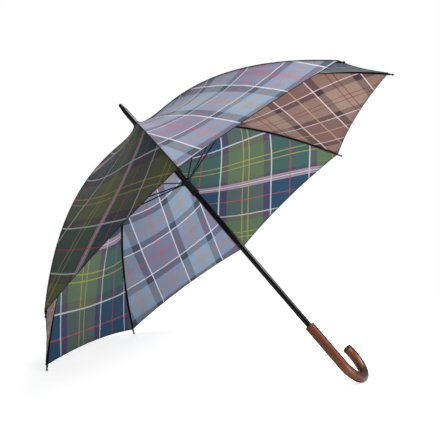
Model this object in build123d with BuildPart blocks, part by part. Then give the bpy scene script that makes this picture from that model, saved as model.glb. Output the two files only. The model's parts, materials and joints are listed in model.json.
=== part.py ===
from build123d import *
import os
from math import cos, exp, radians, sin

# Stick umbrella, open and upright: eight ribs on a straight steel stick with a wooden crook.
# All sizes are in millimetres. The origin is on the stick's axis, level with the lowest point
# of the crook, and +Z points to the ferrule. Rib 0 points along -Y, and the others follow
# clockwise seen from above.

# canopy and ribs
rib_count = 8
rib_step = 360 / rib_count
rim_radius = 545.0
rim_height = 515.0
crown_share = 0.545  # height of the ribs' top over the rim, as a share of rim_radius
fall_share = 0.13  # straight part of the ribs' fall
fall_power = 2.28  # how late the ribs turn down
peak_share = 0.053  # extra height of the fabric's peak round the stick
peak_width = 0.055
fabric_thickness = 0.5
fabric_lift = 2.7  # underside of the fabric above the rib's middle line
fabric_start = 7.8
seam_gap = 0.4  # half of the space between two neighbouring panels
hem_rise = 14.0  # how far the middle of a hem is cut back up its panel

# stick
stick_radius = 7.0
stick_wall = 0.8
slip = 0.05
socket_depth = 60.0
slot_width = 3.6
slot_end = 0.6

# crook
grip_radius = 12.0
crook_radius = 55.0
crook_overturn = 22.0
crook_azimuth = 71.0
handle_top = 182.0
bend_height = crook_radius + grip_radius

# notch and rib roots
hinge_radius = 9.0
notch_radius = 12.5
notch_below = 4.2
notch_above = 5.2
notch_bevel = 0.8
notch_chamfer = 1.5
collar_radius = 8.0
collar_length = 5.0
root_slot = 2.6
root_slot_floor = 7.35
wire_radius = 0.5
eye_hole = 0.65
eye_radius = 1.55
eye_thickness = 2.0

# rib section, an open channel
rib_start = 14.5
rib_width = 3.6
rib_depth = 3.2
rib_wall = 0.6
tip_overhang = 11.0
tip_radius = 2.4
bead_radius = 2.9
tip_socket = 6.0

# stretchers and runner
joint_share = 0.46
joint_drop = 5.0
runner_share = 0.232
pivot_radius = 11.0
stretcher_radius = 1.6
stretcher_eye = 2.0
stretcher_setback = 1.4  # from a pivot to the start of the round bar
clip_length = 12.0
clip_wall = 0.6
clip_roof = 0.4
clip_skirt = 1.8  # length of the clip's cheeks below the rivet
rivet_radius = 0.6
runner_clearance = 0.15
barrel_radius = 8.85
crown_radius = 13.5
crown_height = 9.2
runner_length = 40.4  # from the pivots to the lower edge
runner_flare = 10.6
runner_slot_floor = 8.9
slot_room = 0.3
runner_travel = 330.0
window_length = 16.0
window_width = 4.2
window_drop = 27.0  # from the pivots to the window's lower edge
pin_radius = 0.8
pin_reach = 1.6

# catches
catch_width = 3.0
catch_reach = 8.9
catch_length = 34.0
catch_inner = 3.2
catch_outer = 4.6
catch_land = 2.5
catch_slope = 16.0
catch_gap = 0.4
catch_azimuth = 90 + rib_step / 2

# ferrule
cap_radius = 8.8
cap_height = 3.6
cap_slope = 0.7
spike_radius = 7.2
spike_tip_radius = 5.1
spike_length = 71.0
sleeve_length = 9.0
plug_length = 24.0
root_length = 42.0

# tie band
band_rib = 6
band_width = 20.0
band_from = 0.50
band_to = 0.80
band_thickness = 1.2
band_lift = 4.2
snap_radius = 6.0
snap_thickness = 1.6
snap_rounding = 0.8
snap_inset = 14.0


def azimuth(number):
    """Direction of a rib, in degrees from +X."""
    return -90 - rib_step * number


def outward(angle):
    """Unit vector that points away from the stick."""
    return Vector(cos(radians(angle)), sin(radians(angle)), 0)


def sideways(angle):
    """Unit vector across a rib, square to outward and to +Z."""
    return Vector(-sin(radians(angle)), cos(radians(angle)), 0)


def upright_plane(angle, shift=0.0):
    """Plane of a rib: its X points outward, its Y up. shift moves it sideways."""
    return Plane(
        origin=sideways(angle) * shift, x_dir=outward(angle), z_dir=-sideways(angle)
    )


def rib_height(radius):
    """Height of a rib's middle line at a distance from the stick."""
    share = radius / rim_radius
    fall = fall_share * share + (crown_share - fall_share) * share**fall_power
    return rim_height + rim_radius * (crown_share - fall)


def rib_slope(radius):
    """Unit tangent of the rib in its own plane, outward and downward."""
    rise = rib_height(radius + 0.5) - rib_height(radius - 0.5)
    return Vector(1, rise).normalized()


def height_above_rib(radius, distance):
    """Height of a line that runs at a distance above a rib's middle line."""
    return rib_height(radius) + distance / rib_slope(radius).X


def fabric_height(radius):
    """Height of the fabric's underside: it follows the ribs, then rises to a peak."""
    peak = peak_share * exp(-radius / rim_radius / peak_width)
    return height_above_rib(radius, fabric_lift) + rim_radius * peak


def spread(first, last, count, ease=1.0):
    """Evenly spaced values, or closer together near the first where ease is over 1."""
    return [first + (last - first) * (i / (count - 1)) ** ease for i in range(count)]


hinge_height = rib_height(hinge_radius)
pivot_height = rim_height + runner_share * rim_radius
joint_radius = joint_share * rim_radius
joint_height = rib_height(joint_radius) - joint_drop
pocket_height = pivot_height - runner_travel
ferrule_base = fabric_height(fabric_start) + fabric_thickness + 0.3
bore_radius = stick_radius + slip


def build_rib(angle):
    """Fluted steel rib: a channel, with a flat tongue and eye for the notch's wire."""
    plane = upright_plane(angle)
    points = [(r, rib_height(r)) for r in spread(rib_start, rim_radius, 9)]
    half = rib_width / 2
    web = rib_depth / 2
    with BuildPart() as rib:
        with BuildLine(plane) as spine:
            curve = Spline(*points)
        with BuildSketch(Plane(origin=curve @ 0, x_dir=sideways(angle), z_dir=curve % 0)):
            with BuildLine():
                Polyline(
                    (-half, -web),
                    (-half, web),
                    (half, web),
                    (half, -web),
                    (half - rib_wall, -web),
                    (half - rib_wall, web - rib_wall),
                    (-half + rib_wall, web - rib_wall),
                    (-half + rib_wall, -web),
                    close=True,
                )
            make_face()
        sweep(path=curve)
        with BuildSketch(plane.offset(-eye_thickness / 2)):
            with Locations((hinge_radius, hinge_height)):
                Circle(eye_radius)
            with BuildLine():
                end = rib_start + 5
                Polyline(
                    (hinge_radius, hinge_height + eye_radius * 0.8),
                    (end, rib_height(end) + 0.9),
                    (end, rib_height(end) - 1.3),
                    (hinge_radius, hinge_height - eye_radius * 0.8),
                    close=True,
                )
            make_face()
        extrude(amount=eye_thickness)
        with BuildSketch(plane.offset(-eye_thickness)):
            with Locations((hinge_radius, hinge_height)):
                Circle(eye_hole)
        extrude(amount=2 * eye_thickness, mode=Mode.SUBTRACT)
    return rib.part


def build_rib_clip(angle):
    """Folded clip over a rib at its joint, with the rivet that carries the stretcher."""
    plane = upright_plane(angle)
    slope = rib_slope(joint_radius)
    middle = plane.from_local_coords((joint_radius, rib_height(joint_radius), 0))
    ahead = plane.from_local_coords(
        (joint_radius + slope.X, rib_height(joint_radius) + slope.Y, 0)
    )
    cross = Plane(origin=middle, x_dir=sideways(angle), z_dir=ahead - middle)
    inner = rib_width / 2 + slip
    outer = inner + clip_wall
    top = rib_depth / 2 + slip
    skirt = -joint_drop - clip_skirt
    with BuildPart() as clip:
        with BuildSketch(cross.offset(-clip_length / 2)):
            with BuildLine():
                Polyline(
                    (-outer, skirt),
                    (-outer, top + clip_roof),
                    (outer, top + clip_roof),
                    (outer, skirt),
                    (inner, skirt),
                    (inner, top),
                    (-inner, top),
                    (-inner, skirt),
                    close=True,
                )
            make_face()
        extrude(amount=clip_length)
        with BuildSketch(plane.offset(-outer - 0.4)):
            with Locations((joint_radius, joint_height)):
                Circle(rivet_radius)
        extrude(amount=2 * outer + 0.8)
    return clip.part


def build_rib_tip(angle):
    """Turned tip: a sleeve over the rib's end, a thin neck and a round bead."""
    plane = upright_plane(angle)
    slope = rib_slope(rim_radius)
    end = plane.from_local_coords((rim_radius, rim_height, 0))
    ahead = plane.from_local_coords((rim_radius + slope.X, rim_height + slope.Y, 0))
    axis_plane = Plane(origin=end, x_dir=sideways(angle), z_dir=ahead - end)
    turning = Plane(origin=end, x_dir=ahead - end, z_dir=sideways(angle))
    neck = tip_radius * 0.6
    neck_end = tip_overhang - 2 * bead_radius + 0.5
    with BuildPart() as tip:
        with BuildSketch(turning):
            with BuildLine():
                Polyline(
                    (-tip_socket, 0),
                    (-tip_socket, tip_radius),
                    (2, tip_radius),
                    (4, neck),
                    (neck_end, neck),
                    (neck_end, 0),
                    close=True,
                )
            make_face()
        revolve(axis=Axis(end, ahead - end))
        with Locations(axis_plane.offset(tip_overhang - bead_radius)):
            Sphere(bead_radius)
        with BuildSketch(axis_plane.offset(slip)):
            Rectangle(rib_width + 2 * slip, rib_depth + 2 * slip)
        extrude(amount=-tip_socket * 2, mode=Mode.SUBTRACT)
    return tip.part


def build_stretcher(angle):
    """Round steel strut with a flat eye at each end."""
    plane = upright_plane(angle)
    inner = plane.from_local_coords((pivot_radius, pivot_height, 0))
    outer = plane.from_local_coords((joint_radius, joint_height, 0))
    toward = (outer - inner).normalized()
    bar_start = inner + toward * stretcher_setback
    with BuildPart() as stretcher:
        with BuildSketch(Plane(origin=bar_start, x_dir=sideways(angle), z_dir=toward)):
            Circle(stretcher_radius)
        extrude(amount=(outer - inner).length - 2 * stretcher_setback)
        with BuildSketch(plane.offset(-eye_thickness / 2)):
            with Locations((pivot_radius, pivot_height), (joint_radius, joint_height)):
                Circle(stretcher_eye)
        extrude(amount=eye_thickness)
        with BuildSketch(plane.offset(-2 * eye_thickness)):
            with Locations((pivot_radius, pivot_height), (joint_radius, joint_height)):
                Circle(eye_hole)
        extrude(amount=4 * eye_thickness, mode=Mode.SUBTRACT)
    return stretcher.part


def panel_section(plane, narrowing, last_radius):
    """Thin strip of fabric in one upright plane, from the stick to the hem."""
    radii = spread(fabric_start, last_radius, 12, ease=1.5)
    under = [(r * narrowing, fabric_height(r)) for r in radii]
    over = [(x, y + fabric_thickness) for x, y in under]
    with BuildSketch(plane) as section:
        with BuildLine():
            Spline(*under)
            Line(under[-1], over[-1])
            Spline(*over)
            Line(over[0], under[0])
        make_face()
    return section.sketch


def build_canopy_panel(number):
    """Panel between two ribs, straight across, with a hem that is cut back in its middle."""
    first = azimuth(number)
    last = azimuth(number + 1)
    middle = azimuth(number + 0.5)
    narrowing = cos(radians(rib_step / 2))
    hem_radius = rim_radius - hem_rise * rib_slope(rim_radius).X
    with BuildPart() as panel:
        add(panel_section(upright_plane(first, -seam_gap), 1, rim_radius))
        add(panel_section(upright_plane(middle), narrowing, hem_radius))
        add(panel_section(upright_plane(last, seam_gap), 1, rim_radius))
        loft(ruled=True)
    return panel.part


def build_catch(name, foot, flat, up):
    """Bent spring blade in the stick. Its flat end holds the runner, its slope lets it by."""
    plane = upright_plane(catch_azimuth)
    with BuildPart() as catch:
        with BuildSketch(plane.offset(-catch_width / 2)):
            with BuildLine():
                Polyline(
                    (catch_inner, flat),
                    (catch_reach, flat),
                    (catch_reach, flat - up * catch_land),
                    (catch_outer, flat - up * catch_slope),
                    (catch_outer, foot),
                    (catch_inner, foot),
                    close=True,
                )
            make_face()
        extrude(amount=catch_width)
    catch.part.label = name
    return catch.part


def slot_for(flat, foot):
    """Slot in the stick's wall that a catch stands out of."""
    low = min(flat, foot) - slot_end
    high = max(flat, foot) + slot_end
    with BuildSketch(upright_plane(catch_azimuth).offset(-slot_width / 2)) as drawn:
        with Locations((stick_radius, (low + high) / 2)):
            Rectangle(stick_radius, high - low)
    return drawn.sketch


top_catch_flat = pivot_height - runner_length - catch_gap
top_catch_foot = top_catch_flat - catch_length
low_window = pivot_height - window_drop
low_catch_flat = low_window - runner_travel + slot_end
low_catch_foot = low_catch_flat + catch_length
stopper_height = pivot_height + crown_height / 2 + 1.2

os.makedirs("parts", exist_ok=True)

with BuildPart() as shaft:
    stick_bottom = handle_top - socket_depth + 0.5
    with BuildSketch(Plane.XY.offset(stick_bottom)):
        Circle(stick_radius)
        Circle(stick_radius - stick_wall, mode=Mode.SUBTRACT)
    extrude(amount=ferrule_base - stick_bottom)
    for flat, foot in ((top_catch_flat, top_catch_foot), (low_catch_flat, low_catch_foot)):
        extrude(slot_for(flat, foot), amount=slot_width, mode=Mode.SUBTRACT)
    with BuildSketch(Plane.XZ.offset(-2 * stick_radius)):
        with Locations((0, stopper_height)):
            Circle(pin_radius + slip)
    extrude(amount=4 * stick_radius, mode=Mode.SUBTRACT)
shaft.part.label = "shaft"
export_step(shaft.part, "parts/shaft.step")

with BuildPart() as stopper_pin:
    with BuildSketch(Plane.XZ.offset(-stick_radius - pin_reach)):
        with Locations((0, stopper_height)):
            Circle(pin_radius)
    extrude(amount=2 * (stick_radius + pin_reach))
stopper_pin.part.label = "stopper_pin"
export_step(stopper_pin.part, "parts/stopper_pin.step")

with BuildPart() as handle:
    with BuildLine(upright_plane(crook_azimuth)) as spine:
        Line((0, handle_top), (0, bend_height))
        CenterArc((crook_radius, bend_height), crook_radius, 180, 180 + crook_overturn)
    with BuildSketch(Plane.XY.offset(handle_top)):
        Circle(grip_radius)
    sweep(path=spine.line)
    flat_ends = handle.faces().filter_by(GeomType.PLANE)
    fillet(flat_ends.edges(), radius=2.0)
    with BuildSketch(Plane.XY.offset(handle_top)):
        Circle(bore_radius)
    extrude(amount=-socket_depth, mode=Mode.SUBTRACT)
handle.part.label = "handle"
export_step(handle.part, "parts/handle.step")

with BuildPart() as crown_cap:
    with BuildSketch(Plane.XZ):
        with BuildLine():
            Polyline(
                (spike_radius + slip, ferrule_base),
                (cap_radius, ferrule_base),
                (cap_radius, ferrule_base + 1.2),
                (cap_radius - cap_slope, ferrule_base + cap_height),
                (spike_radius + slip, ferrule_base + cap_height),
                close=True,
            )
        make_face()
    revolve(axis=Axis.Z)
crown_cap.part.label = "crown_cap"
export_step(crown_cap.part, "parts/crown_cap.step")

with BuildPart() as ferrule:
    spike_top = ferrule_base + spike_length
    sleeve_base = spike_top - sleeve_length
    plug_radius = stick_radius - stick_wall - slip
    with BuildSketch(Plane.XZ):
        with BuildLine():
            Polyline(
                (0, spike_top - spike_tip_radius),
                (0, ferrule_base - plug_length),
                (plug_radius, ferrule_base - plug_length),
                (plug_radius, ferrule_base),
                (spike_radius, ferrule_base),
                (spike_radius, ferrule_base + cap_height + root_length),
                (spike_tip_radius, sleeve_base),
                (spike_tip_radius, spike_top - spike_tip_radius),
                close=True,
            )
        make_face()
    revolve(axis=Axis.Z)
    with Locations((0, 0, spike_top - spike_tip_radius)):
        Sphere(spike_tip_radius)
ferrule.part.label = "ferrule"
export_step(ferrule.part, "parts/ferrule.step")

with BuildPart() as notch:
    notch_bottom = hinge_height - notch_below
    notch_top = hinge_height + notch_above
    with BuildSketch(Plane.XZ):
        with BuildLine():
            Polyline(
                (bore_radius, notch_bottom - collar_length),
                (collar_radius, notch_bottom - collar_length),
                (collar_radius, notch_bottom),
                (notch_radius, notch_bottom + notch_bevel),
                (notch_radius, notch_top - notch_bevel),
                (notch_radius - notch_chamfer, notch_top),
                (bore_radius, notch_top),
                close=True,
            )
        make_face()
    revolve(axis=Axis.Z)
    for number in range(rib_count):
        slot_plane = Plane(
            origin=(0, 0, notch_bottom - 1),
            x_dir=outward(azimuth(number)),
            z_dir=(0, 0, 1),
        )
        with BuildSketch(slot_plane):
            with Locations((root_slot_floor + notch_radius / 2, 0)):
                Rectangle(notch_radius, root_slot)
        extrude(amount=notch_below + 1 + eye_radius + 0.3, mode=Mode.SUBTRACT)
    with BuildSketch(Plane.XZ):
        with Locations((hinge_radius, hinge_height)):
            Circle(wire_radius + slip)
    revolve(axis=Axis.Z, mode=Mode.SUBTRACT)
notch.part.label = "notch"
export_step(notch.part, "parts/notch.step")

with BuildPart() as notch_wire:
    with BuildSketch(Plane.XZ):
        with Locations((hinge_radius, hinge_height)):
            Circle(wire_radius)
    revolve(axis=Axis.Z)
notch_wire.part.label = "notch_wire"
export_step(notch_wire.part, "parts/notch_wire.step")

with BuildPart() as runner:
    runner_bore = stick_radius + runner_clearance
    runner_bottom = pivot_height - runner_length
    crown_low = pivot_height - crown_height / 2
    crown_top = pivot_height + crown_height / 2
    with BuildSketch(Plane.XZ):
        with BuildLine():
            Polyline(
                (runner_bore, runner_bottom),
                (runner_flare, runner_bottom),
                (runner_flare, runner_bottom + 2.5),
                (barrel_radius, runner_bottom + 7),
                (barrel_radius, crown_low - 1),
                (crown_radius, crown_low + 1),
                (crown_radius, crown_top - 1),
                (crown_radius - 1, crown_top),
                (runner_bore, crown_top),
                close=True,
            )
        make_face()
    revolve(axis=Axis.Z)
    for number in range(rib_count):
        slot_plane = Plane(
            origin=(0, 0, crown_low - 2),
            x_dir=outward(azimuth(number)),
            z_dir=(0, 0, 1),
        )
        with BuildSketch(slot_plane):
            with Locations((runner_slot_floor + crown_radius / 2, 0)):
                Rectangle(crown_radius, 2 * (stretcher_radius + slot_room))
        extrude(amount=crown_height + 4, mode=Mode.SUBTRACT)
    with BuildSketch(Plane.XZ):
        with Locations((pivot_radius, pivot_height)):
            Circle(wire_radius + slip)
    revolve(axis=Axis.Z, mode=Mode.SUBTRACT)
    with BuildSketch(upright_plane(catch_azimuth).offset(-window_width / 2)):
        with Locations((barrel_radius, low_window + window_length / 2)):
            Rectangle(barrel_radius, window_length)
    extrude(amount=window_width, mode=Mode.SUBTRACT)
runner.part.label = "runner"
export_step(runner.part, "parts/runner.step")

with BuildPart() as runner_wire:
    with BuildSketch(Plane.XZ):
        with Locations((pivot_radius, pivot_height)):
            Circle(wire_radius)
    revolve(axis=Axis.Z)
runner_wire.part.label = "runner_wire"
export_step(runner_wire.part, "parts/runner_wire.step")

top_spring = build_catch("top_spring", top_catch_foot, top_catch_flat, 1)
export_step(top_spring, "parts/top_spring.step")

bottom_spring = build_catch("bottom_spring", low_catch_foot, low_catch_flat, -1)
export_step(bottom_spring, "parts/bottom_spring.step")

for number in range(rib_count):
    pieces = {
        "rib": build_rib(azimuth(number)),
        "rib_clip": build_rib_clip(azimuth(number)),
        "rib_tip": build_rib_tip(azimuth(number)),
        "stretcher": build_stretcher(azimuth(number)),
        "canopy_panel": build_canopy_panel(number),
    }
    for kind, piece in pieces.items():
        piece.label = f"{kind}_{number}"
        export_step(piece, f"parts/{piece.label}.step")

with BuildPart() as tie_band:
    band_plane = upright_plane(azimuth(band_rib))
    band_radii = spread(band_from * rim_radius, band_to * rim_radius, 6)
    low_line = [(r, height_above_rib(r, band_lift)) for r in band_radii]
    high_line = [(x, y + band_thickness) for x, y in low_line]
    with BuildSketch(band_plane.offset(-band_width / 2)):
        with BuildLine():
            Spline(*low_line)
            Line(low_line[-1], high_line[-1])
            Spline(*high_line)
            Line(high_line[0], low_line[0])
        make_face()
    extrude(amount=band_width)
tie_band.part.label = "tie_band"
export_step(tie_band.part, "parts/tie_band.step")

with BuildPart() as tie_snap:
    reach = band_from * rim_radius + snap_inset
    slope = rib_slope(reach)
    height = height_above_rib(reach, band_lift) + band_thickness + 0.6
    seat = band_plane.from_local_coords((reach, height, 0))
    above = band_plane.from_local_coords((reach - slope.Y, height + slope.X, 0))
    across = sideways(azimuth(band_rib))
    with BuildSketch(Plane(origin=seat, x_dir=across, z_dir=above - seat)):
        Circle(snap_radius)
    extrude(amount=snap_thickness)
    fillet(tie_snap.edges().sort_by(Axis.Z)[-1], radius=snap_rounding)
tie_snap.part.label = "tie_snap"
export_step(tie_snap.part, "parts/tie_snap.step")
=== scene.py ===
import json
from math import cos, exp, pi, radians, sin, sqrt, tan

import bpy
from mathutils import Matrix, Vector, noise


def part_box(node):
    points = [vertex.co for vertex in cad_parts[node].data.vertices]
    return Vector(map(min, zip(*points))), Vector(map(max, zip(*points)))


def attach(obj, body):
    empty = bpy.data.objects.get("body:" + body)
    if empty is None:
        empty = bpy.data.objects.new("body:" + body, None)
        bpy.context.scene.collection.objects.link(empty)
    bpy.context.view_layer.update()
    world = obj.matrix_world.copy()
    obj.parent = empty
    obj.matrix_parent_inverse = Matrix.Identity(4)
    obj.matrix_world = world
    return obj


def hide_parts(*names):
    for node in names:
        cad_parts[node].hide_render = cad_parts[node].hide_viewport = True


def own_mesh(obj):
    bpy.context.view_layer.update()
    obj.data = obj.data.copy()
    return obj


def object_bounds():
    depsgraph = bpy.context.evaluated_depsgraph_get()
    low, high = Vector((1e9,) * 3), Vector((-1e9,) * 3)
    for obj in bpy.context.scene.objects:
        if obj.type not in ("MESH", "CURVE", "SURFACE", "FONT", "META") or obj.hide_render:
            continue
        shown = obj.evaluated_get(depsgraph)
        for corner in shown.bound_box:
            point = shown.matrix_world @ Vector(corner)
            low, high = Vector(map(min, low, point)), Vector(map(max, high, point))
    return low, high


# Looks of a stick umbrella: canopy of eight checked gores, lacquered crook, black steel frame.
# Sizes are in metres. The stick stands on +Z, and rib 0 points along -Y.

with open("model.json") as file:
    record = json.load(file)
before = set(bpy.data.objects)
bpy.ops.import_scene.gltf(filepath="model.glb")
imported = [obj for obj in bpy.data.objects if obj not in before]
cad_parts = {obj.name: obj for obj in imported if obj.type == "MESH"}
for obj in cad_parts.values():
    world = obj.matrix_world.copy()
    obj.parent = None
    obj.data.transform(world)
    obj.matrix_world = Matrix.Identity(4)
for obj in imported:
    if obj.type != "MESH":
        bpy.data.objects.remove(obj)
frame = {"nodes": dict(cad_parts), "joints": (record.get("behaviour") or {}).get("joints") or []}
cad_low, cad_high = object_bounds()

MM = 0.001

# canopy, as in the CAD model
RIB_COUNT = 8
RIB_STEP = 360 / RIB_COUNT
RIM_RADIUS = 545 * MM
RIM_HEIGHT = 515 * MM
CROWN_SHARE = 0.545
FALL_SHARE = 0.13
FALL_POWER = 2.28
PEAK_SHARE = 0.053
PEAK_WIDTH = 0.055
FABRIC_LIFT = 2.7 * MM
FABRIC_START = 7.8 * MM
FABRIC_THICKNESS = 0.5 * MM
HEM_RISE = 14 * MM

# cloth sheet
SHEET_THICKNESS = 0.36 * MM
SHEET_ROWS = 190
SHEET_COLUMNS = 22
SEAM_GAP = 0.25 * MM
GORE_SAG = 16 * MM
SAG_ROUNDNESS = 0.8
WRINKLE_HEIGHT = 1.5 * MM
WRINKLE_FREE = 30 * MM
HEM_STIFF = 12 * MM
CREASE_HEIGHT = 0.8 * MM
CREASE_WIDTH = 0.09
CREASE_START = (0.2, 0.4)
PUCKER_HEIGHT = 0.22 * MM
PUCKER_STEP = 11 * MM
PUCKER_REACH = 14 * MM
PUCKER_START = 4 * MM
CROWN_FOLD_HEIGHT = 1.2 * MM
CROWN_FOLD_PLACE = 60 * MM
CROWN_FOLD_REACH = 110 * MM
CROWN_FOLD_FREE = 12 * MM
SEAM_WIDTH = 5 * MM
SEAM_RIDGE = 0.35 * MM
HEM_FOLD = (7.5 * MM, 8.2 * MM)
STITCH_PLACE = 6.4 * MM
STITCH_WIDTH = 0.7 * MM
STITCHES_PER_METRE = 320
ROW_BOW = 26 * MM
BOW_START = 240 * MM
WOBBLE = 1.6 * MM
WOBBLE_SCALE = 11
HEM_CORD = 0.75 * MM
# dark cords on the seams are painted shade for the shadow line of each seam ridge
SEAM_SHADE_CORD = 0.8 * MM
SEAM_LIFT = 0.5 * MM
CORD_SIDES = 8
CROWN_DRIFT = 4.5 * MM
CROWN_DRIFT_REACH = 130 * MM
PEAK_REACH = 60 * MM
PATTERN_PIVOT = 400 * MM

# tie band on rib 6
BAND_RIB = 6
BAND_LIFT = 4.2 * MM
BAND_THICKNESS = 1.2 * MM
STRAP_THICKNESS = 0.9 * MM
STRAP_SHORTER = 1 * MM
STRAP_LENGTHS = 60
STRAP_WIDTHS = 12

# crook, as in the CAD model
CROOK_RADIUS = 55 * MM
CROOK_AZIMUTH = 71
CROOK_HEIGHT = 67 * MM

# cloth gathered round the closed umbrella
FOLDED_WIDTH = 0.24
PLEAT_HEIGHT = 7 * MM
PLEAT_SHARE = 0.16
CROWN_EDGE = 60 * MM
HINGE_RADIUS = 9 * MM
CLOSING_TURN = radians(
    next(joint["range_deg"][1] for joint in frame["joints"] if joint["name"] == "rib_hinge_0")
)

# pattern of each family of cloth: widths outward from the centre of the inner field
LINE = 3.5 * MM
GREEN_PERIOD = 276 * MM
BLUE_PERIOD = 224 * MM
BROWN_PERIOD = 251 * MM
TWILL_STEP = 1.5 * MM
CLOTH_TRANSLUCENCE = 0.16

# camera
CAMERA_PLACE = Vector((-0.0227, -2.0734, 0.0660))
CAMERA_FORWARD = Vector((0.0118, 0.9775, 0.2107))
CAMERA_UP = Vector((0.6492, -0.1677, 0.7419))
CAMERA_LENS = 71.67

# lights: size and power
OVERHEAD_SIZE = 1.8
OVERHEAD_POWER = 105
FILL_SIZE = 1.5
FILL_POWER = 61
FILL_COLOUR = (1.0, 0.98, 0.96)
SKY_COLOUR = (0.93, 0.96, 1.0, 1)
SKY_STRENGTH = 0.22

# floor: brightness for the camera and for other rays, and how much of the shadow is shown
FLOOR_GAIN = 2.45
FLOOR_TONE = 0.8
FLOOR_REACH = 8.0
SHADOW_SHARE = 0.34
SHADOW_FADE = (0.75, 1.3)


# ---------------------------------------------------------------- small helpers


def direction(angle):
    """Unit vector away from the stick at an azimuth in degrees."""
    return Vector((cos(radians(angle)), sin(radians(angle)), 0))


def rib_azimuth(number):
    """Azimuth of a rib in degrees; halves are the middles of the gores."""
    return -90 - RIB_STEP * number


def rib_height(radius):
    """Height of a rib's middle line."""
    share = radius / RIM_RADIUS
    fall = FALL_SHARE * share + (CROWN_SHARE - FALL_SHARE) * share**FALL_POWER
    return RIM_HEIGHT + RIM_RADIUS * (CROWN_SHARE - fall)


HINGE_HEIGHT = rib_height(HINGE_RADIUS)


def rib_grade(radius):
    """Rise of the rib for each unit outward, a negative number."""
    share = radius / RIM_RADIUS
    return -FALL_SHARE - (CROWN_SHARE - FALL_SHARE) * FALL_POWER * share ** (FALL_POWER - 1)


def sheet_height(radius):
    """Height of the middle of the cloth in a rib's plane."""
    peak = PEAK_SHARE * exp(-radius / RIM_RADIUS / PEAK_WIDTH)
    lift = FABRIC_LIFT * sqrt(1 + rib_grade(radius) ** 2)
    return rib_height(radius) + lift + RIM_RADIUS * peak + FABRIC_THICKNESS / 2


def arc_lengths(count):
    """Pairs of radius and length along the cloth from the stick, at evenly spaced radii."""
    radii = [RIM_RADIUS * i / count for i in range(count + 1)]
    lengths = [0.0]
    for inner, outer in zip(radii, radii[1:]):
        rise = sheet_height(outer) - sheet_height(inner)
        if inner < PEAK_REACH:
            # the pattern doesn't stretch over the small peak at the stick
            rise = rib_height(outer) - rib_height(inner)
        lengths.append(lengths[-1] + sqrt((outer - inner) ** 2 + rise**2))
    return radii, lengths


ARC_RADII, ARC_LENGTHS = arc_lengths(400)
CLOTH_LENGTH = ARC_LENGTHS[-1]


def length_at(radius):
    """Length along a rib from the stick to a radius."""
    place = radius / RIM_RADIUS * (len(ARC_RADII) - 1)
    low = min(int(place), len(ARC_RADII) - 2)
    part = place - low
    return ARC_LENGTHS[low] * (1 - part) + ARC_LENGTHS[low + 1] * part


def ramp_up(value, low, high):
    """Smooth step from 0 at low to 1 at high."""
    part = min(1.0, max(0.0, (value - low) / (high - low)))
    return part * part * (3 - 2 * part)


def rgb(red, green, blue):
    """Linear colour from display values of 0 to 255."""

    def linear(value):
        value /= 255
        return value / 12.92 if value <= 0.04045 else ((value + 0.055) / 1.055) ** 2.4

    return (linear(red), linear(green), linear(blue), 1.0)


def new_object(name, vertices, faces, materials):
    """Smooth mesh object in the scene."""
    mesh = bpy.data.meshes.new(name)
    mesh.from_pydata(vertices, [], faces)
    mesh.shade_smooth()
    made = bpy.data.objects.new(name, mesh)
    bpy.context.scene.collection.objects.link(made)
    for material in materials:
        mesh.materials.append(material)
    return made


# ---------------------------------------------------------------- node helpers


class Graph:
    """Short calls for building a node tree."""

    def __init__(self, tree):
        self.tree = tree

    def link(self, value, socket):
        """Joins a node's output to a socket, or sets the socket to a plain value."""
        if hasattr(value, "is_linked"):
            self.tree.links.new(value, socket)
        else:
            socket.default_value = value

    def add(self, kind, output=0, inputs=None, **settings):
        """New node with its inputs linked or set. Gives one of its outputs."""
        node = self.tree.nodes.new(kind)
        for key, value in settings.items():
            setattr(node, key, value)
        for key, value in (inputs or {}).items():
            self.link(value, node.inputs[key])
        return node.outputs[output]

    def math(self, operation, first, second=0.0, third=0.0):
        inputs = {0: first, 1: second, 2: third}
        return self.add("ShaderNodeMath", inputs=inputs, operation=operation)

    def times(self, first, second):
        return self.math("MULTIPLY", first, second)

    def plus(self, first, second):
        return self.math("ADD", first, second)

    def minus(self, first, second):
        return self.math("SUBTRACT", first, second)

    def vector(self, x, y, z):
        return self.add("ShaderNodeCombineXYZ", inputs={0: x, 1: y, 2: z})

    def vector_math(self, operation, first, second, output=0):
        inputs = {0: first, 1: second}
        return self.add("ShaderNodeVectorMath", output, inputs, operation=operation)


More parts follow.
